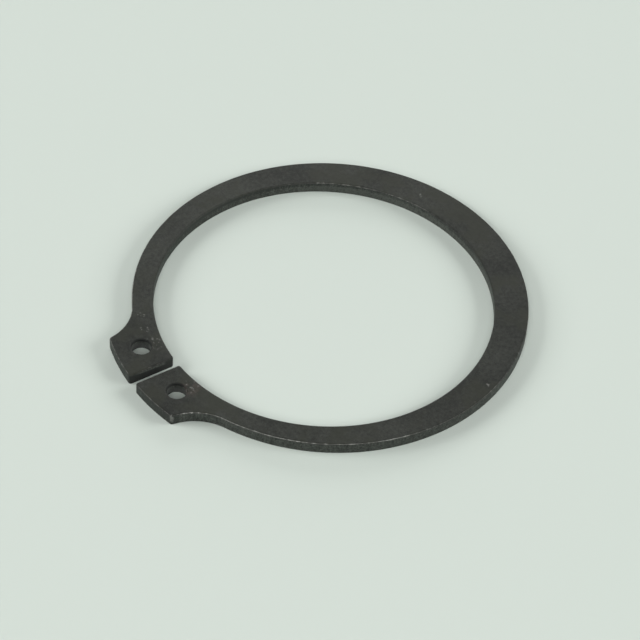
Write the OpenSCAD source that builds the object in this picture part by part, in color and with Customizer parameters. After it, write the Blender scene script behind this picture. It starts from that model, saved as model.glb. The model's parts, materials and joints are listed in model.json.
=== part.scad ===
// External retaining ring for a shaft groove, stamped from spring steel strip.
// The origin is the centre of the inner edge, on the underside. The gap faces -Y and the ring's axis is Z.

/* [Ring] */
// Diameter of the inner edge, with the ring unstretched
free_inner_d = 55.8; // [50:0.1:70]
// Thickness of the strip
thickness = 2; // [1.5:0.05:3]
// Radial width opposite the gap, where the rim is widest
back_width = 5.8; // [5:0.1:7]
// Radial width that the tapering rim would reach at the gap
end_width = 3.3; // [2.8:0.1:4]
// Height and depth of the edge that the punch rolls over on the upper face
edge_roll = 0.25; // [0.05:0.05:0.35]

/* [Lugs] */
// Radial reach of the lugs, from the inner edge to their outer arc
lug_reach = 8.1; // [7:0.1:10]
// Angle from the middle of the gap to the outer corner of a lug
lug_angle = 16; // [14:0.5:20]
// Radius of the hollow where a lug runs into the rim
root_fillet_r = 8.6; // [6:0.1:10]
// Radius of the outer corner beside that hollow
root_corner_r = 0.5; // [0.4:0.1:1.5]

/* [Gap] */
// Width of the gap between the two lugs
gap_width = 1.8; // [1:0.1:4]
// Radius of the outer corners at the gap
gap_outer_corner_r = 0.4; // [0.4:0.1:1.5]
// Radius of the inner corners at the gap
gap_inner_corner_r = 0.4; // [0.4:0.1:1.5]

/* [Plier holes] */
// Diameter of the two holes for the plier tips
hole_d = 3.2; // [2.5:0.1:3.6]
// Distance from the inner edge to the centre of a hole
hole_inset = 3.75; // [3.2:0.05:4.5]
// Angle from the middle of the gap to the centre of a hole
hole_angle = 10.2; // [8:0.1:12]

/* [Hidden] */
$fn = 180;

inner_r = free_inner_d / 2;
// The outer edge is a larger circle set off from the inner one, away from the gap
rim_r = inner_r + (back_width + end_width) / 2;
rim_centre = [0, (back_width - end_width) / 2];
lug_r = inner_r + lug_reach;
half_gap = gap_width / 2;
// How far a cut runs past the faces that it goes through
past = 1;
// How far a round runs into the edges that it touches, so that the two cross in one clean line
nick = 0.001;

// Direction at an angle from the middle of the gap, towards +X
function from_gap(angle) = [sin(angle), -cos(angle)];

// Where a circle round a meets a circle round b, on the left of the way from a to b
function circles_meet(a, radius_a, b, radius_b) =
    let (
        span = norm(b - a),
        along = (b - a) / span,
        reach = (radius_a * radius_a - radius_b * radius_b + span * span) / (2 * span),
        rise = sqrt(radius_a * radius_a - reach * reach)
    )
    a + along * reach + [-along.y, along.x] * rise;

// The hollow touches the rim from outside and ends at the lug's corner
lug_corner = from_gap(lug_angle) * lug_r;
hollow_centre = circles_meet(rim_centre, rim_r + root_fillet_r, lug_corner, root_fillet_r);
// Each corner's round touches the two edges that meet there
root_corner_centre = circles_meet(hollow_centre, root_fillet_r + root_corner_r, [0, 0], lug_r - root_corner_r);
gap_outer_centre = gap_corner_centre(gap_outer_corner_r, lug_r - gap_outer_corner_r);
gap_inner_centre = gap_corner_centre(gap_inner_corner_r, inner_r + gap_inner_corner_r);
// A point inside the lug, to which the shapes that make it up overlap
lug_middle = from_gap(lug_angle / 2) * (inner_r + lug_reach / 2);

// Centre of a round that touches the gap's face, at a distance from the origin
function gap_corner_centre(round_r, distance) =
    let (x = half_gap + round_r)
    [x, -sqrt(distance * distance - x * x)];

// A point taken out along its own ray, past the lugs' outer arc
function beyond(point) = point / norm(point) * (lug_r + 2 * past);

// A disc of the strip's thickness, with the upper edge rolled over
module disc(centre, radius) {
    translate(centre) {
        cylinder(h = thickness - edge_roll, r = radius);
        translate([0, 0, thickness - edge_roll])
            cylinder(h = edge_roll, r1 = radius, r2 = radius - edge_roll);
    }
}

// The tool that cuts a round opening, flared where the upper edge is rolled over
module round_cut(centre, radius) {
    translate(centre) {
        translate([0, 0, -past])
            cylinder(h = thickness + 2 * past, r = radius);
        translate([0, 0, thickness - edge_roll])
            cylinder(h = edge_roll + past, r1 = radius, r2 = radius + edge_roll + past);
    }
}

module both_sides() {
    children();
    mirror([1, 0, 0]) children();
}

// The rim, solid inside, as far as the rays through the middles of the lugs
module rim_blank() {
    difference() {
        disc(rim_centre, rim_r);
        translate([0, 0, -past])
            linear_extrude(thickness + 2 * past)
                polygon([[0, 0], beyond(lug_middle), beyond([-lug_middle.x, lug_middle.y])]);
    }
}

// A lug out to its arc, from the ray through its outer corner to the gap's corners
module lug_tip() {
    intersection() {
        disc([0, 0], lug_r);
        linear_extrude(thickness)
            polygon([[0, 0], gap_inner_centre, gap_outer_centre, beyond(gap_outer_centre), beyond(root_corner_centre)]);
    }
}

// What carries a lug on the rim, before the hollow is cut from it
module root_web() {
    linear_extrude(thickness)
        polygon([[0, 0], lug_middle, root_corner_centre, hollow_centre, rim_centre]);
}

// The face of the gap, with its upper edge rolled over
module gap_face() {
    difference() {
        linear_extrude(thickness)
            polygon([
                gap_inner_centre,
                lug_middle,
                gap_outer_centre,
                [half_gap, gap_outer_centre.y],
                [half_gap, gap_inner_centre.y]
            ]);
        translate([half_gap, 0, thickness])
            rotate([90, 0, 0])
                linear_extrude(lug_r)
                    polygon([[-past, -edge_roll - past], [edge_roll + past, past], [-past, past]]);
    }
}

// The three rounded corners of a lug
module lug_corners() {
    disc(root_corner_centre, root_corner_r + nick);
    disc(gap_outer_centre, gap_outer_corner_r + nick);
    disc(gap_inner_centre, gap_inner_corner_r + nick);
}

module retaining_ring() {
    color([0.24, 0.24, 0.23])
        difference() {
            union() {
                difference() {
                    union() {
                        rim_blank();
                        both_sides() {
                            lug_tip();
                            root_web();
                        }
                    }
                    round_cut([0, 0], inner_r);
                    both_sides() round_cut(hollow_centre, root_fillet_r + nick);
                }
                both_sides() {
                    gap_face();
                    lug_corners();
                }
            }
            both_sides() round_cut(from_gap(hole_angle) * (inner_r + hole_inset), hole_d / 2);
        }
}

retaining_ring();
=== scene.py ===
"""External retaining ring of black spring steel, lying on a plain pale floor.

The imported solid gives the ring's size and place. One mesh with a rolled upper edge stands for that solid.
All lengths are metres. The ring's axis is Z, its gap faces -Y, and it lies on Z = 0.
"""

import json
import math
from types import SimpleNamespace

import bmesh
import bpy
from bpy.props import FloatProperty, FloatVectorProperty, IntProperty, PointerProperty
from mathutils import Matrix, Vector


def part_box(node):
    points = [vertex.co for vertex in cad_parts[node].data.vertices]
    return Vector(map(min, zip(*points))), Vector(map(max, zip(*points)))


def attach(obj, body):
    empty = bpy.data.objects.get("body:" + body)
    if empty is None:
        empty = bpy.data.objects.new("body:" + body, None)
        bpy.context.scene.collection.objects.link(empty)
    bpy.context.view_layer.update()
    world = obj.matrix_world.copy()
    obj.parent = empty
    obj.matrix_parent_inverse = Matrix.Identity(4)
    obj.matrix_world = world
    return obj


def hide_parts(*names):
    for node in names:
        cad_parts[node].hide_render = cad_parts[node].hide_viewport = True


bl_info = {
    "name": "Shaft Retaining Ring",
    "version": (1, 0, 0),
    "blender": (4, 5, 0),
    "location": "3D View > Sidebar > Retaining Ring",
    "description": "Models an external retaining ring and the floor and soft light around it",
    "category": "Add Mesh",
}

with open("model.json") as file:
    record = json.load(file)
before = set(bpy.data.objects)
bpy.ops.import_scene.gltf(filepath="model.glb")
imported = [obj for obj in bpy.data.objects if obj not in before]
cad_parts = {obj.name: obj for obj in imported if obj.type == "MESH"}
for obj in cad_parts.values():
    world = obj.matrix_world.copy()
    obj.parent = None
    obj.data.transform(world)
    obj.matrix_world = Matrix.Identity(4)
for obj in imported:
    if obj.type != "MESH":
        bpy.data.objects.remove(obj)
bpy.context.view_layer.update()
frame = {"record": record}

NODE = "retaining_ring"
MM = 0.001

ring_low, ring_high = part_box(NODE)
mounts = {mount["name"]: mount for mount in frame["record"]["mounts"]}
packed_inner_radius = mounts["shaft_seat"]["dims"]["r_mm"] * MM
packed_hole_radius = mounts["plier_hole_right"]["dims"]["r_mm"] * MM
packed_hole_place = mounts["plier_hole_right"]["pos_m"]
# The rim reaches furthest straight behind the centre and, as a set-off circle, straight to the side
packed_back_width = ring_high.y - packed_inner_radius
packed_end_width = 2 * (ring_high.x - packed_inner_radius) - packed_back_width


def length(name, description, default, low, high):
    """A length that a user may change."""
    return FloatProperty(
        name=name,
        description=description,
        default=default,
        min=low,
        max=high,
        unit="LENGTH",
        subtype="DISTANCE",
        precision=5,
    )


def share(name, description, default):
    """A share from 0 to 1 that a user may change."""
    return FloatProperty(
        name=name, description=description, default=default, min=0.0, max=1.0, subtype="FACTOR"
    )


def strength(name, description, default, high):
    """A strength of light that a user may change."""
    return FloatProperty(name=name, description=description, default=default, min=0.0, max=high)


def colour(name, description, default):
    """A linear colour that a user may change."""
    return FloatVectorProperty(
        name=name, description=description, default=default, min=0.0, max=1.0, size=3, subtype="COLOR"
    )


class RetainingRingSizes(bpy.types.PropertyGroup):
    """The ring's own dimensions."""

    inner_radius: length("Inner radius", "Round inner edge", packed_inner_radius, 0.02, 0.04)
    thickness: length("Thickness", "Strip thickness", ring_high.z - ring_low.z, 0.001, 0.004)
    back_width: length("Back width", "Radial width opposite the gap", packed_back_width, 0.004, 0.008)
    end_width: length(
        "End width", "Radial width the rim would reach at the gap", packed_end_width, 0.002, 0.005
    )
    edge_roll: length(
        "Edge roll", "Radius rolled on the upper edge by the punch", 0.00025, 0.0001, 0.00035
    )
    edge_break: length("Edge break", "Tiny break of the lower edge", 0.00005, 0.00002, 0.0001)
    lug_reach: length("Lug reach", "From the inner edge to the lugs' outer arc", 0.0081, 0.007, 0.01)
    lug_angle: FloatProperty(
        name="Lug angle",
        description="From the middle of the gap to a lug's outer corner",
        default=math.radians(16),
        min=math.radians(14),
        max=math.radians(20),
        unit="ROTATION",
        subtype="ANGLE",
    )
    root_hollow: length("Root hollow", "Radius where a lug runs into the rim", 0.0086, 0.006, 0.01)
    root_corner: length(
        "Root corner", "Radius of the lug's corner beside the hollow", 0.0005, 0.0004, 0.0015
    )
    gap_width: length("Gap width", "Between the two lugs", 0.0018, 0.001, 0.004)
    gap_outer_corner: length("Outer gap corner", "Radius at the gap's mouth", 0.0004, 0.0004, 0.0015)
    gap_inner_corner: length("Inner gap corner", "Radius at the gap's inner end", 0.0004, 0.0004, 0.0015)
    hole_radius: length("Hole radius", "Radius of the plier holes", packed_hole_radius, 0.001, 0.002)
    roll_steps: IntProperty(
        name="Roll steps", description="Facets across the rolled edge", default=8, min=3, max=16
    )
    chord: length("Chord", "Longest straight piece of an outline arc", 0.0003, 0.0001, 0.002)


class RetainingRingFinish(bpy.types.PropertyGroup):
    """Colours and wear of the black phosphate coat."""

    coat_dark: colour("Dark coat", "Where the coat is thicker", (0.0090, 0.0096, 0.0083))
    coat_light: colour("Light coat", "Where the coat is thin or rubbed", (0.0336, 0.0357, 0.0307))
    olive_tint: colour("Olive tint", "Broad patches of the coat", (0.0208, 0.0222, 0.0162))
    rust_tint: colour("Brown tint", "Faint brown bloom near a plier hole", (0.052, 0.040, 0.034))
    wall_dark: colour("Dark wall", "Pits and scores of the sheared edge", (0.024, 0.027, 0.0235))
    wall_light: colour("Light wall", "Rubbed parts of the sheared edge", (0.078, 0.084, 0.075))
    torn: colour("Torn face", "Lower face of the gap", (0.022, 0.024, 0.022))
    hole_wall: colour("Hole wall", "Foot of the plier holes' walls", (0.085, 0.089, 0.085))
    # Painted shade on the rolled edge round the plier holes
    hole_rim_shade: colour("Hole rim", "Rolled edge round the plier holes", (0.010, 0.011, 0.010))
    steel: colour("Bare steel", "Worn through on the edges", (0.34, 0.34, 0.32))
    wear: share("Edge wear", "How much of the rolled edge is worn", 0.5)


class RetainingRingStage(bpy.types.PropertyGroup):
    """Floor, lamps and camera."""

    floor: colour("Floor", "Plain floor colour", (0.560, 0.618, 0.568))
    sky: strength("Sky", "Strength of the light from all round", 0.05, 2.0)
    lamps: strength("Lamps", "Strength of the softboxes", 1.0, 4.0)


# Outline of half the ring, in the plan

# The widest turn of one facet, and the facets round a plier hole and across the lower edge
FINEST_TURN = math.radians(7.5)
HOLE_SEGMENTS = 96
BREAK_STEPS = 2
# Vertices closer than this are merged, and faces more level than this are shaded flat
MERGE_DISTANCE = 1e-7
LEVEL_NORMAL = 0.999


def circles_meet(centre_a, radius_a, centre_b, radius_b):
    """Where two circles meet, on the left of the way from a to b."""
    span = (centre_b - centre_a).length
    along = (centre_b - centre_a) / span
    reach = (radius_a**2 - radius_b**2 + span**2) / (2 * span)
    rise = math.sqrt(radius_a**2 - reach**2)
    return centre_a + along * reach + Vector((-along.y, along.x)) * rise


def touch_point(centre, radius, towards):
    """The point of a circle that lies towards another point."""
    return centre + (towards - centre).normalized() * radius


def lug_corner_direction(sizes):
    """Unit vector from the centre to the outer corner of the +X lug."""
    return Vector((math.sin(sizes.lug_angle), -math.cos(sizes.lug_angle)))


def half_outline(sizes):
    """The +X half of the plan, from behind the centre round the inner edge to the gap and back outside.

    Each row is an arc's centre and end, or None and the end of a straight edge.
    """
    origin = Vector((0.0, 0.0))
    inner = sizes.inner_radius
    rim = inner + (sizes.back_width + sizes.end_width) / 2
    rim_centre = Vector((0.0, (sizes.back_width - sizes.end_width) / 2))
    lug = inner + sizes.lug_reach
    half_gap = sizes.gap_width / 2

    def gap_corner(radius, distance):
        """Centre of a round that touches the gap's face, at a distance from the origin."""
        x = half_gap + radius
        return Vector((x, -math.sqrt(distance**2 - x**2)))

    lug_corner = lug_corner_direction(sizes) * lug
    hollow = circles_meet(rim_centre, rim + sizes.root_hollow, lug_corner, sizes.root_hollow)
    root = circles_meet(hollow, sizes.root_hollow + sizes.root_corner, origin, lug - sizes.root_corner)
    mouth = gap_corner(sizes.gap_outer_corner, lug - sizes.gap_outer_corner)
    throat = gap_corner(sizes.gap_inner_corner, inner + sizes.gap_inner_corner)
    return [
        (origin, touch_point(origin, inner, throat)),
        (throat, Vector((half_gap, throat.y))),
        (None, Vector((half_gap, mouth.y))),
        (mouth, touch_point(origin, lug, mouth)),
        (origin, touch_point(origin, lug, root)),
        (root, touch_point(hollow, sizes.root_hollow, root)),
        (hollow, touch_point(hollow, sizes.root_hollow, rim_centre)),
        (rim_centre, rim_centre + Vector((0.0, rim))),
    ]


def draw_edge(bm, start, centre, end, chord):
    """Spins or pulls a vertex to an edge's end, and returns the vertex that it ends at."""
    if centre is None:
        made = bmesh.ops.extrude_vert_indiv(bm, verts=[start])["verts"]
        step = Vector((end.x, end.y, start.co.z)) - start.co
        bmesh.ops.translate(bm, verts=made, vec=step)
        return made[0]
    arm = start.co.xy - centre
    turn = -arm.angle_signed(end - centre)
    steps = math.ceil(max(abs(turn) * arm.length / chord, abs(turn) / FINEST_TURN))
    made = bmesh.ops.spin(
        bm,
        geom=[start],
        cent=(centre.x, centre.y, 0.0),
        axis=(0.0, 0.0, 1.0),
        angle=turn,
        steps=steps,
        use_merge=False,
        use_duplicate=False,
    )
    return made["geom_last"][0]


def roll_over(bm, faces, radius, steps):
    """Rounds the rim of a flat region, by insets that climb a quarter circle."""
    angles = [math.pi / 2 * step / steps for step in range(steps + 1)]
    for last, now in zip(angles, angles[1:]):
        bmesh.ops.inset_region(
            bm,
            faces=faces,
            thickness=radius * (math.cos(last) - math.cos(now)),
            depth=radius * (math.sin(now) - math.sin(last)),
            use_boundary=True,
            use_even_offset=True,
        )


def model_ring(sizes, hole_place):
    """The ring as one closed bmesh, with the upper edge rolled and the lower edge barely broken."""
    bm = bmesh.new()
    base = sizes.edge_break
    corner = bm.verts.new((0.0, sizes.inner_radius, base))
    for centre, end in half_outline(sizes):
        corner = draw_edge(bm, corner, centre, end, sizes.chord)
    bmesh.ops.create_circle(
        bm,
        cap_ends=False,
        radius=sizes.hole_radius,
        segments=HOLE_SEGMENTS,
        matrix=Matrix.Translation((hole_place[0], hole_place[1], base)),
    )
    bmesh.ops.mirror(
        bm,
        geom=bm.verts[:] + bm.edges[:],
        matrix=Matrix.Identity(4),
        merge_dist=MERGE_DISTANCE,
        axis="X",
    )
    bmesh.ops.remove_doubles(bm, verts=bm.verts[:], dist=MERGE_DISTANCE)
    bmesh.ops.triangle_fill(bm, edges=bm.edges[:], use_beauty=True, normal=(0.0, 0.0, 1.0))
    plan = bm.faces[:]
    lifted = bmesh.ops.extrude_face_region(bm, geom=plan, use_keep_orig=True)["geom"]
    top = [piece for piece in lifted if isinstance(piece, bmesh.types.BMFace)]
    wall = sizes.thickness - sizes.edge_roll - sizes.edge_break
    bmesh.ops.translate(
        bm,
        verts=[piece for piece in lifted if isinstance(piece, bmesh.types.BMVert)],
        vec=(0.0, 0.0, wall),
    )
    bmesh.ops.recalc_face_normals(bm, faces=bm.faces[:])
    roll_over(bm, top, sizes.edge_roll, sizes.roll_steps)
    roll_over(bm, plan, sizes.edge_break, BREAK_STEPS)
    for face in bm.faces:
        face.smooth = abs(face.normal.z) < LEVEL_NORMAL
    return bm


def check_closed(bm, name):
    """Stops the script if a mesh is open or inside out."""
    if not all(edge.is_manifold for edge in bm.edges):
        raise RuntimeError(f"{name} isn't closed")
    if bm.calc_volume(signed=True) <= 0:
        raise RuntimeError(f"{name} is inside out")


def object_from(bm, name):
    """A new object at the origin that holds the mesh."""
    mesh = bpy.data.meshes.new(name)
    bm.to_mesh(mesh)
    bm.free()
    piece = bpy.data.objects.new(name, mesh)
    bpy.context.scene.collection.objects.link(piece)
    return piece


# Shader sums


class Signal:
    """A shader socket that Python sums turn into Math nodes."""

    def __init__(self, recipe, socket):
        self.recipe = recipe
        self.socket = socket

    def math(self, operation, *values):
        """A Math node on this socket and up to two more values."""
        names = ("Value", "Value_001", "Value_002")
        inputs = dict(zip(names, (self, *values)))
        return self.recipe.add("ShaderNodeMath", {"operation": operation}, inputs)

    def __add__(self, other):
        return self.math("ADD", other)

    __radd__ = __add__

    def __sub__(self, other):
        return self.math("SUBTRACT", other)

    def __rsub__(self, other):
        return (self * -1.0) + other

    def __mul__(self, other):
        return self.math("MULTIPLY", other)

    __rmul__ = __mul__

    def __pow__(self, other):
        return self.math("POWER", other)


class Recipe:
    """The nodes of a material or a world, and the single way to add one."""

    def __init__(self, owner):
        owner.use_nodes = True
        self.owner = owner
        self.tree = owner.node_tree
        self.tree.nodes.clear()

    def add(self, kind, settings=None, inputs=None, output=0):
        """Adds a node: first its settings, then the values or links of its sockets by identifier."""
        node = self.tree.nodes.new(kind)
        for name, value in (settings or {}).items():
            setattr(node, name, value)
        sockets = {socket.identifier: socket for socket in node.inputs}
        for name, value in (inputs or {}).items():
            if isinstance(value, Signal):
                self.tree.links.new(value.socket, sockets[name])
            else:
                sockets[name].default_value = value
        if not node.outputs:
            return node
        return Signal(self, node.outputs[output])

    def outputs(self, kind, names):
        """Adds a node without inputs, and gives the named ones of its outputs."""
        sockets = self.add(kind).socket.node.outputs
        return [Signal(self, sockets[name]) for name in names]

    def parts(self, vector):
        """A vector's X, Y and Z."""
        split = self.add("ShaderNodeSeparateXYZ", inputs={"Vector": vector}).socket.node
        return [Signal(self, socket) for socket in split.outputs]

    def step(self, value, low, high):
        """0 below low, 1 above high, and a smooth way between."""
        settings = {"interpolation_type": "SMOOTHSTEP"}
        return self.add("ShaderNodeMapRange", settings, {"Value": value, "From Min": low, "From Max": high})

    def band(self, value, rise, fall):
        """1 between two ranges and 0 beyond them."""
        return self.step(value, *rise) * (1 - self.step(value, *fall))

    def near(self, place, point, full, none):
        """1 closer to a point than the first distance, and 0 beyond the second."""
        inputs = {"Vector": place, "Vector_001": point}
        distance = self.add("ShaderNodeVectorMath", {"operation": "DISTANCE"}, inputs, output=1)
        return 1 - self.step(distance, full, none)

    def noise(self, place, scale, detail, roughness):
        """A cloudy pattern from 0 to 1, in waves per millimetre."""
        inputs = {"Vector": place, "Scale": scale, "Detail": detail, "Roughness": roughness}
        return self.add("ShaderNodeTexNoise", {"normalize": True}, inputs)

    def blend(self, factor, first, second):
        """A colour between two."""
        inputs = {"Factor_Float": factor, "A_Color": first, "B_Color": second}
        return self.add("ShaderNodeMix", {"data_type": "RGBA", "clamp_factor": True}, inputs, output=2)

    def between(self, factor, first, second):
        """A number between two."""
        inputs = {"Factor_Float": factor, "A_Float": first, "B_Float": second}
        return self.add("ShaderNodeMix", {"data_type": "FLOAT", "clamp_factor": True}, inputs)


def rgba(tone):
    """A property's colour with full opacity."""
    return (*tone, 1.0)


# Black phosphate. Its lengths are millimetres, and a range is where a zone fades in or out.

# Noise patterns: waves per millimetre, detail and roughness
PATTERNS = {
    "clouds": (0.09, 2.0, 0.5),
    "patchy": (0.14, 1.0, 0.5),
    "olive": (0.2, 2.0, 0.5),
    "mottle": (1.1, 3.0, 0.6),
    "broken": (1.1, 4.0, 0.7),
    "grain": (1.9, 2.0, 0.6),
    "pits": (4.2, 2.0, 0.5),
    "crystals": (5.0, 3.0, 0.65),
}
# Drag lines of the punch are a noise that is stretched upright
DRAG = (3.0, 3.0, 0.6)
DRAG_STRETCH = (1.0, 1.0, 0.2)

# Tone of the flat faces and of the sheared wall, 0 dark to 1 light: its level and each pattern's weight
COAT_LEVEL = 0.52
COAT_WEIGHTS = {"clouds": 1.4, "mottle": 0.95, "grain": 1.2, "crystals": 1.6}
WALL_LEVEL = 0.53
WALL_WEIGHTS = {"drag": 1.3, "pits": 1.9, "grain": 1.3}

# Ranges of the normal's upward part, which is 0 on the wall and 1 on the flat faces
WALL_FALL = (0.15, 0.45)
SEAM_RISE = (0.05, 0.15)
SEAM_FALL = (0.3, 0.45)
CREST_RISE = (0.3, 0.5)
CREST_FALL = (0.7, 0.9)
WIDE_CREST_RISE = (0.15, 0.35)
WIDE_CREST_FALL = (0.85, 0.97)
HOLE_RIM_FALL = (0.88, 0.98)

# Ranges of height, as shares of the thickness
UPPER_HALF = (0.4, 0.6)
UNDER_EDGE = (0.55, 0.75)
HOLE_FOOT = (0.0, 0.9)
HOLE_RIM = (0.7, 0.87)

# Ranges of distance past the inner edge
OUTER_EDGE = (1.0, 2.0)
LUG_ARC = (6.6, 7.4)
# Ranges of distance from the gap's middle, from a plier hole's centre and from a lug's root corner
GAP_SIDE = (1.2, 1.9)
HOLE_ZONE = (2.0, 2.6)
ROOT_ZONE = (0.15, 0.55)
# Ranges of Y, as shares of the inner radius
FRONT = (-0.9, -0.8)
LUGS = (-1.08, -0.98)

# Painted sheen fall-off: the ring darkens this way across it, towards the right of the view, by this much
# of its tone at the inner edge
PAINTED_DIM_WAY = (0.57, 0.82)
PAINTED_DIM_BY = 0.17
# The far side lies square to that way, and the view's left side lies against it
FAR_WAY = (-0.82, 0.57)
FAR_SIDE = (0.5, 1.0)
VIEW_LEFT_SIDE = (0.0, 0.08)

# How much tone each zone of the flat faces and of the wall gains or loses
LUG_SHADE = 0.35
SEAM_SHADE = 0.8
# Painted shade on the outer wall towards the right of the view
OUTER_WALL_PAINTED_SHADE = 2.0
ARC_SHADE = 0.55
# Painted light and shade on the inner wall: darker near its top and on the view's left side, lighter on the
# far side
UNDER_EDGE_SHADE = 0.5
VIEW_LEFT_SIDE_SHADE = 0.45
FAR_SIDE_PAINTED_LIGHT = 0.35
OLIVE_RANGE = (0.45, 0.65)
OLIVE_SHARE = 0.7

# The torn part of the gap's face ends on a line that climbs outwards and wavers
TORN_CLIMB = -0.05
TORN_WAVER = 0.12
TORN_DROP = 0.27
TORN_BLUR = (-0.05, 0.05)

# Faint brown bloom beside the hole on the +X lug: its centre, reach, broken range and share
BLOOM_PLACE = (6.2, -28.9)
BLOOM_REACH = (0.3, 2.4)
BLOOM_RANGE = (0.4, 0.6)
BLOOM_SHARE = 0.7

# The worn line along the crest: the noise range that breaks it, which more wear lowers, and how bare it is
PATCHY_SHARE = 0.35
RUBBED_LOW = 0.54
RUBBED_HIGH = 0.64
WEAR_LOWERS = (0.2, 0.1)
RUBBED_SHARE = 0.5
LEAST_WORN = 0.14
BLOB_RANGE = (0.56, 0.68)
BLOB_SHARE = 0.7
# How far the gap, the lugs' arcs and the dimmed side are spared, and how worn the far inner edge is
GAP_SPARED = 0.8
ARC_SPARED = 0.6
DIMMED_SIDE = (0.08, 0.13)
DIMMED_SIDE_SPARED = 0.7
INNER_EDGE_WORN = 0.5
# The worn spots at the lugs' root corners, broken by noise and fading above the floor
SPOT_RANGE = (0.4, 0.55)
SPOT_RISE = (0.3, 1.0)
SPOT_SHARE = 0.4
# Scuffed places on the upper face: centre and radius
SCUFFS = (
    (-11.7, -27.7, 0.9),
    (-8.8, -28.7, 1.0),
    (-5.2, -28.8, 1.9),
    (5.9, -28.8, 1.8),
    (29.1, 12.3, 0.8),
    (31.2, 8.3, 0.7),
    (-12.7, 27.7, 0.8),
)
SCUFF_CORE = 0.4
SCUFF_RANGE = (0.55, 0.7)
SCUFF_SHARE = 0.3

# Relief and shine: how much patterns and wear raise or lower the surface, and how it reflects
CRYSTAL_RELIEF = 0.6
MOTTLE_RELIEF = 0.8
WALL_RELIEF = 0.9
WORN_RELIEF = 0.4
BUMP_STRENGTH = 0.6
BUMP_DISTANCE = 0.00004
COAT_ROUGHNESS = 0.58
CRYSTAL_ROUGHNESS = 0.2
WORN_ROUGHNESS = 0.42
WORN_METALLIC = 0.95
COAT_SHINE = 0.15


def scaled(limits, factor, start=0.0):
    """A range times a factor, from a start."""
    return [start + limit * factor for limit in limits]


def ring_zones(recipe, sizes):
    """A point's place on the ring, and signals from 0 to 1 for how far it lies in each zone."""
    thick = sizes.thickness / MM
    inner = sizes.inner_radius / MM
    metres, normal = recipe.outputs("ShaderNodeTexCoord", ("Object", "Normal"))
    place = recipe.add("ShaderNodeVectorMath", {"operation": "SCALE"}, {"Vector": metres, "Scale": 1 / MM})
    x, y, z = recipe.parts(place)
    upward = recipe.parts(normal)[2]
    distance = (x * x + y * y) ** 0.5
    side = x.math("ABSOLUTE")
    flat = recipe.add("ShaderNodeCombineXYZ", inputs={"X": side, "Y": y})
    hole = Vector((abs(packed_hole_place[0]), packed_hole_place[1], 0.0)) / MM
    root = lug_corner_direction(sizes).to_3d() * (inner + sizes.lug_reach / MM)

    above = recipe.step(z, *scaled(UPPER_HALF, thick))
    outside = recipe.step(distance, *scaled(OUTER_EDGE, 1.0, inner))
    # Painted sheen fall-off, growing towards the right of the view
    dimmed = (x * PAINTED_DIM_WAY[0] + y * PAINTED_DIM_WAY[1]) * (PAINTED_DIM_BY / inner)
    far = y * FAR_WAY[1] + x * FAR_WAY[0]
    by_hole = recipe.near(flat, hole, *HOLE_ZONE)
    # Where the plier holes' rolled rim takes its painted shade
    at_rim = (1 - recipe.step(upward, *HOLE_RIM_FALL)) * recipe.step(z, *scaled(HOLE_RIM, thick))
    front = 1 - recipe.step(y, *scaled(FRONT, inner))
    return SimpleNamespace(
        thick=thick,
        place=place,
        y=y,
        z=z,
        on_wall=1 - recipe.step(upward, *WALL_FALL),
        seam=recipe.band(upward, SEAM_RISE, SEAM_FALL) * above,
        crest=recipe.band(upward, CREST_RISE, CREST_FALL) * above,
        wide_crest=recipe.band(upward, WIDE_CREST_RISE, WIDE_CREST_FALL) * above,
        under_edge=recipe.step(z, *scaled(UNDER_EDGE, thick)),
        outside=outside,
        inside=1 - outside,
        dimmed=dimmed,
        far_side=recipe.step(far, *scaled(FAR_SIDE, inner)),
        view_left_side=recipe.step(dimmed * -1.0, *VIEW_LEFT_SIDE),
        in_gap=(1 - recipe.step(side, *GAP_SIDE)) * front,
        on_lug=1 - recipe.step(y, *scaled(LUGS, inner)),
        on_arc=recipe.step(distance, *scaled(LUG_ARC, 1.0, inner)),
        by_hole=by_hole,
        hole_foot=by_hole * (1 - recipe.step(z, *scaled(HOLE_FOOT, thick))),
        hole_rim_shade=by_hole * at_rim,
        by_root=recipe.near(flat, root, *ROOT_ZONE),
    )


def noise_patterns(recipe, place):
    """The noises of the coat, the sheared wall and the wear."""
    patterns = {name: recipe.noise(place, *values) for name, values in PATTERNS.items()}
    upright = recipe.add(
        "ShaderNodeVectorMath", {"operation": "MULTIPLY"}, {"Vector": place, "Vector_001": DRAG_STRETCH}
    )
    patterns["drag"] = recipe.noise(upright, *DRAG)
    return patterns


def weigh(patterns, weights, level):
    """A tone about a level, to which each pattern adds as it is above or below its middle."""
    tone = level
    for name, weight in weights.items():
        tone = (patterns[name] - 0.5) * weight + tone
    return tone


def coat_colour(recipe, zones, patterns, finish):
    """The flat faces: cloudy, mottled and finely crystalline, with broad olive patches and a painted sheen
    fall-off towards the right of the view.
    """
    # Painted sheen fall-off darkens the tone towards the right of the view
    tone = weigh(patterns, COAT_WEIGHTS, COAT_LEVEL) - zones.dimmed - zones.on_lug * LUG_SHADE
    coat = recipe.blend(tone, rgba(finish.coat_dark), rgba(finish.coat_light))
    olive = recipe.step(patterns["olive"], *OLIVE_RANGE) * OLIVE_SHARE
    return recipe.blend(olive, coat, rgba(finish.olive_tint))


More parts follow.
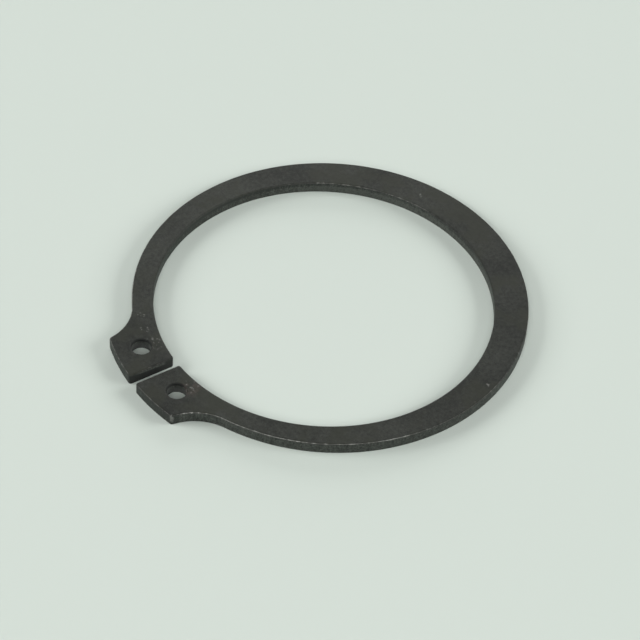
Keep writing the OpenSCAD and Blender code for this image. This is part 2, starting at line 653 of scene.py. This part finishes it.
def wall_colour(recipe, zones, patterns, finish):
    """The sheared wall: drag lines and pits with painted light and shade by side and height, with the faces
    of the gap and of the plier holes.
    """
    tone = weigh(patterns, WALL_WEIGHTS, WALL_LEVEL) - zones.seam * SEAM_SHADE
    # Painted shade on the outer wall towards the right of the view
    dimmed_outside = zones.outside * zones.dimmed.math("MAXIMUM", 0.0)
    tone = tone - dimmed_outside * OUTER_WALL_PAINTED_SHADE - zones.on_arc * ARC_SHADE
    # Painted light and shade on the inner wall: lighter on the far side, darker near its top and on the
    # view's left side
    inner_tone = zones.far_side * FAR_SIDE_PAINTED_LIGHT - zones.under_edge * UNDER_EDGE_SHADE
    tone = tone + zones.inside * (inner_tone - zones.view_left_side * VIEW_LEFT_SIDE_SHADE)
    wall = recipe.blend(tone, rgba(finish.wall_dark), rgba(finish.wall_light))

    # In the gap the punch leaves a smooth upper band, and a torn and darker face below it
    torn_edge = zones.y * TORN_CLIMB + patterns["grain"] * TORN_WAVER - TORN_DROP
    torn = zones.in_gap * (1 - recipe.step(zones.z - torn_edge, *TORN_BLUR))
    wall = recipe.blend(torn, wall, rgba(finish.torn))
    return recipe.blend(zones.hole_foot, wall, rgba(finish.hole_wall))


def bare_steel(recipe, zones, patterns, finish):
    """How bare a point is: a thin broken line along the crest, the lugs' root corners and scuffs."""
    broken = patterns["broken"]
    rubbing = broken * (1 - PATCHY_SHARE) + patterns["patchy"] * PATCHY_SHARE
    low = RUBBED_LOW - finish.wear * WEAR_LOWERS[0]
    high = RUBBED_HIGH - finish.wear * WEAR_LOWERS[1]
    line = zones.crest * (recipe.step(rubbing, low, high) * RUBBED_SHARE + LEAST_WORN)
    blobs = zones.wide_crest * recipe.step(broken, *BLOB_RANGE) * BLOB_SHARE
    spared = (1 - zones.by_hole) * (1 - zones.in_gap * GAP_SPARED) * (1 - zones.on_arc * ARC_SPARED)
    inner_edge = zones.inside * zones.far_side * (1 - zones.view_left_side) * INNER_EDGE_WORN
    handled = 1 - recipe.step(zones.dimmed, *DIMMED_SIDE) * DIMMED_SIDE_SPARED
    worn = line.math("MAXIMUM", blobs) * spared * (zones.outside + inner_edge) * handled

    spots = zones.by_root * recipe.step(broken, *SPOT_RANGE) * recipe.step(zones.z, *SPOT_RISE)
    worn = worn.math("MAXIMUM", spots * SPOT_SHARE)
    speckle = recipe.step(patterns["grain"], *SCUFF_RANGE)
    for across, back, radius in SCUFFS:
        scuff = recipe.near(zones.place, (across, back, zones.thick), radius * SCUFF_CORE, radius)
        worn = worn.math("MAXIMUM", scuff * speckle * SCUFF_SHARE)
    return worn


def black_phosphate(finish, sizes):
    """Matt black phosphate on spring steel: fine crystals, cloudy tone, sheared walls and worn edges."""
    recipe = Recipe(bpy.data.materials.new("black_phosphate"))
    zones = ring_zones(recipe, sizes)
    patterns = noise_patterns(recipe, zones.place)
    coat = coat_colour(recipe, zones, patterns, finish)
    coat = recipe.blend(zones.on_wall, coat, wall_colour(recipe, zones, patterns, finish))
    # Painted shade on the rolled rim of the plier holes
    coat = recipe.blend(zones.hole_rim_shade, coat, rgba(finish.hole_rim_shade))
    bloom = recipe.near(zones.place, (*BLOOM_PLACE, zones.thick), *BLOOM_REACH)
    bloom = bloom * recipe.step(patterns["mottle"], *BLOOM_RANGE) * BLOOM_SHARE
    coat = recipe.blend(bloom, coat, rgba(finish.rust_tint))
    worn = bare_steel(recipe, zones, patterns, finish)

    relief = patterns["crystals"] * CRYSTAL_RELIEF + patterns["mottle"] * MOTTLE_RELIEF
    relief = relief + (patterns["drag"] + patterns["pits"]) * zones.on_wall * WALL_RELIEF
    bump = recipe.add(
        "ShaderNodeBump",
        inputs={
            "Strength": BUMP_STRENGTH,
            "Distance": BUMP_DISTANCE,
            "Height": relief - worn * WORN_RELIEF,
        },
    )
    coat_roughness = (patterns["crystals"] - 0.5) * CRYSTAL_ROUGHNESS + COAT_ROUGHNESS
    shader = recipe.add(
        "ShaderNodeBsdfPrincipled",
        inputs={
            "Base Color": recipe.blend(worn, coat, rgba(finish.steel)),
            "Roughness": recipe.between(worn, coat_roughness, WORN_ROUGHNESS),
            "Metallic": worn * WORN_METALLIC,
            "Specular IOR Level": COAT_SHINE,
            "Normal": bump,
        },
    )
    recipe.add("ShaderNodeOutputMaterial", inputs={"Surface": shader})
    return recipe.owner


class MESH_OT_retaining_ring(bpy.types.Operator):
    """Model the retaining ring with its two lugs and plier holes"""

    bl_idname = "mesh.retaining_ring_add"
    bl_label = "Add Retaining Ring"
    bl_options = {"REGISTER", "UNDO"}

    def execute(self, context):
        sizes = context.scene.retaining_ring_sizes
        bm = model_ring(sizes, packed_hole_place)
        check_closed(bm, "The ring")
        ring = object_from(bm, "phosphated_ring")
        ring.data.materials.append(black_phosphate(context.scene.retaining_ring_finish, sizes))
        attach(ring, "root")
        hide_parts(NODE)
        return {"FINISHED"}


# Stage

# Softboxes: azimuth and elevation in degrees from the ring, width and height in metres, and how much light
# each brings to a surface that faces it
SOFTBOXES = {
    "back_softbox": (235.0, 15.0, 1.5, 0.7, 0.64),
    "left_softbox": (322.0, 25.0, 0.9, 0.7, 0.77),
    "right_softbox": (145.0, 24.0, 0.9, 0.7, 0.78),
    "camera_softbox": (52.0, 42.0, 1.0, 0.8, 0.50),
    "overhead_softbox": (0.0, 88.0, 0.6, 0.6, 0.08),
}
SOFTBOX_DISTANCE = 1.6

# The floor reaches this far each way, and lies this far below the ring so that the two don't touch
FLOOR_REACH = 3.0
FLOOR_DROP = 0.00002
FLOOR_ROUGHNESS = 0.8
FLOOR_SHINE = 0.2
WHITE = (1.0, 1.0, 1.0)

# The camera, as the ring lies in the photograph: degrees, metres, and millimetres for lens and sensor
VIEW_AZIMUTH = 55.25
VIEW_ELEVATION = 45.50
VIEW_ROLL = 3.49
VIEW_DISTANCE = 0.4704
VIEW_TARGET = Vector((0.00203, -0.00201, 0.0))
VIEW_LENS = 162.17
SENSOR_WIDTH = 36.0


def direction(azimuth, elevation):
    """Unit vector towards an azimuth from -Y round to +X, and an elevation, both in degrees."""
    turn = math.radians(azimuth)
    rise = math.radians(elevation)
    return Vector(
        (math.sin(turn) * math.cos(rise), -math.cos(turn) * math.cos(rise), math.sin(rise))
    )


def softbox(name, azimuth, elevation, width, height, level):
    """A flat lamp that faces the ring; level is the light that it brings to a face turned to it."""
    lamp = bpy.data.lights.new(name, "AREA")
    lamp.shape = "RECTANGLE"
    lamp.size = width
    lamp.size_y = height
    # A small surface square on to the lamp gets energy / (pi * distance squared) of light
    lamp.energy = level * math.pi**2 * SOFTBOX_DISTANCE**2
    stand = bpy.data.objects.new(name, lamp)
    back = direction(azimuth, elevation)
    stand.location = back * SOFTBOX_DISTANCE
    stand.rotation_mode = "QUATERNION"
    stand.rotation_quaternion = (-back).to_track_quat("-Z", "Y")
    stand.visible_camera = False
    bpy.context.scene.collection.objects.link(stand)


def plain_floor(tone):
    """A wide plain floor just under the ring."""
    bm = bmesh.new()
    bmesh.ops.create_grid(bm, x_segments=1, y_segments=1, size=FLOOR_REACH)
    bmesh.ops.translate(bm, verts=bm.verts[:], vec=(0.0, 0.0, -FLOOR_DROP))
    floor = object_from(bm, "floor")
    recipe = Recipe(bpy.data.materials.new("plain_floor"))
    shader = recipe.add(
        "ShaderNodeBsdfPrincipled",
        inputs={
            "Base Color": rgba(tone),
            "Roughness": FLOOR_ROUGHNESS,
            "Specular IOR Level": FLOOR_SHINE,
        },
    )
    recipe.add("ShaderNodeOutputMaterial", inputs={"Surface": shader})
    floor.data.materials.append(recipe.owner)


def soft_sky(tone, level):
    """Even light from all round, which the camera and reflections see as the floor's colour."""
    world = bpy.data.worlds.new("soft_sky")
    bpy.context.scene.world = world
    recipe = Recipe(world)
    light = recipe.add("ShaderNodeBackground", inputs={"Color": rgba(WHITE), "Strength": level})
    seen = recipe.add("ShaderNodeBackground", inputs={"Color": rgba(tone), "Strength": 1.0})
    names = ("Is Camera Ray", "Is Glossy Ray", "Is Transmission Ray")
    camera, glossy, through = recipe.outputs("ShaderNodeLightPath", names)
    straight = camera.math("MAXIMUM", glossy).math("MAXIMUM", through)
    inputs = {"Fac": straight, "Shader": light, "Shader_001": seen}
    either = recipe.add("ShaderNodeMixShader", inputs=inputs)
    recipe.add("ShaderNodeOutputWorld", inputs={"Surface": either})


def photo_camera():
    """The camera at the photograph's angle."""
    camera = bpy.data.cameras.new("photo_camera")
    camera.lens = VIEW_LENS
    camera.sensor_width = SENSOR_WIDTH
    stand = bpy.data.objects.new("photo_camera", camera)
    bpy.context.scene.collection.objects.link(stand)
    turned = (
        Matrix.Rotation(math.radians(VIEW_AZIMUTH), 4, "Z")
        @ Matrix.Rotation(math.radians(90 - VIEW_ELEVATION), 4, "X")
        @ Matrix.Rotation(math.radians(VIEW_ROLL), 4, "Z")
    )
    place = VIEW_TARGET + direction(VIEW_AZIMUTH, VIEW_ELEVATION) * VIEW_DISTANCE
    stand.matrix_world = Matrix.Translation(place) @ turned
    bpy.context.scene.camera = stand


class SCENE_OT_retaining_ring_stage(bpy.types.Operator):
    """Set the floor, the soft light and the camera around the ring"""

    bl_idname = "scene.retaining_ring_stage_add"
    bl_label = "Add Floor, Light and Camera"
    bl_options = {"REGISTER", "UNDO"}

    def execute(self, context):
        look = context.scene.retaining_ring_stage
        plain_floor(look.floor)
        soft_sky(look.floor, look.sky)
        for name, (azimuth, elevation, width, height, level) in SOFTBOXES.items():
            softbox(name, azimuth, elevation, width, height, level * look.lamps)
        photo_camera()
        context.scene.view_settings.view_transform = "Standard"
        return {"FINISHED"}


class VIEW3D_PT_retaining_ring(bpy.types.Panel):
    """Sizes, finish and stage of the retaining ring"""

    bl_idname = "VIEW3D_PT_retaining_ring"
    bl_label = "Retaining Ring"
    bl_space_type = "VIEW_3D"
    bl_region_type = "UI"
    bl_category = "Retaining Ring"

    def draw(self, context):
        scene = context.scene
        groups = (
            ("Sizes", scene.retaining_ring_sizes, MESH_OT_retaining_ring),
            ("Finish", scene.retaining_ring_finish, None),
            ("Stage", scene.retaining_ring_stage, SCENE_OT_retaining_ring_stage),
        )
        for title, group, operator in groups:
            box = self.layout.box()
            box.label(text=title)
            for name in group.__annotations__:
                box.prop(group, name)
            if operator:
                box.operator(operator.bl_idname)


CLASSES = (
    RetainingRingSizes,
    RetainingRingFinish,
    RetainingRingStage,
    MESH_OT_retaining_ring,
    SCENE_OT_retaining_ring_stage,
    VIEW3D_PT_retaining_ring,
)


def register():
    """Registers the classes and hangs the properties on the scene."""
    for cls in CLASSES:
        bpy.utils.register_class(cls)
    bpy.types.Scene.retaining_ring_sizes = PointerProperty(type=RetainingRingSizes)
    bpy.types.Scene.retaining_ring_finish = PointerProperty(type=RetainingRingFinish)
    bpy.types.Scene.retaining_ring_stage = PointerProperty(type=RetainingRingStage)


def unregister():
    """Takes the properties and the classes away again."""
    del bpy.types.Scene.retaining_ring_stage
    del bpy.types.Scene.retaining_ring_finish
    del bpy.types.Scene.retaining_ring_sizes
    for cls in reversed(CLASSES):
        bpy.utils.unregister_class(cls)


def main():
    register()
    bpy.ops.mesh.retaining_ring_add()
    bpy.ops.scene.retaining_ring_stage_add()


if __name__ == "__main__":
    main()
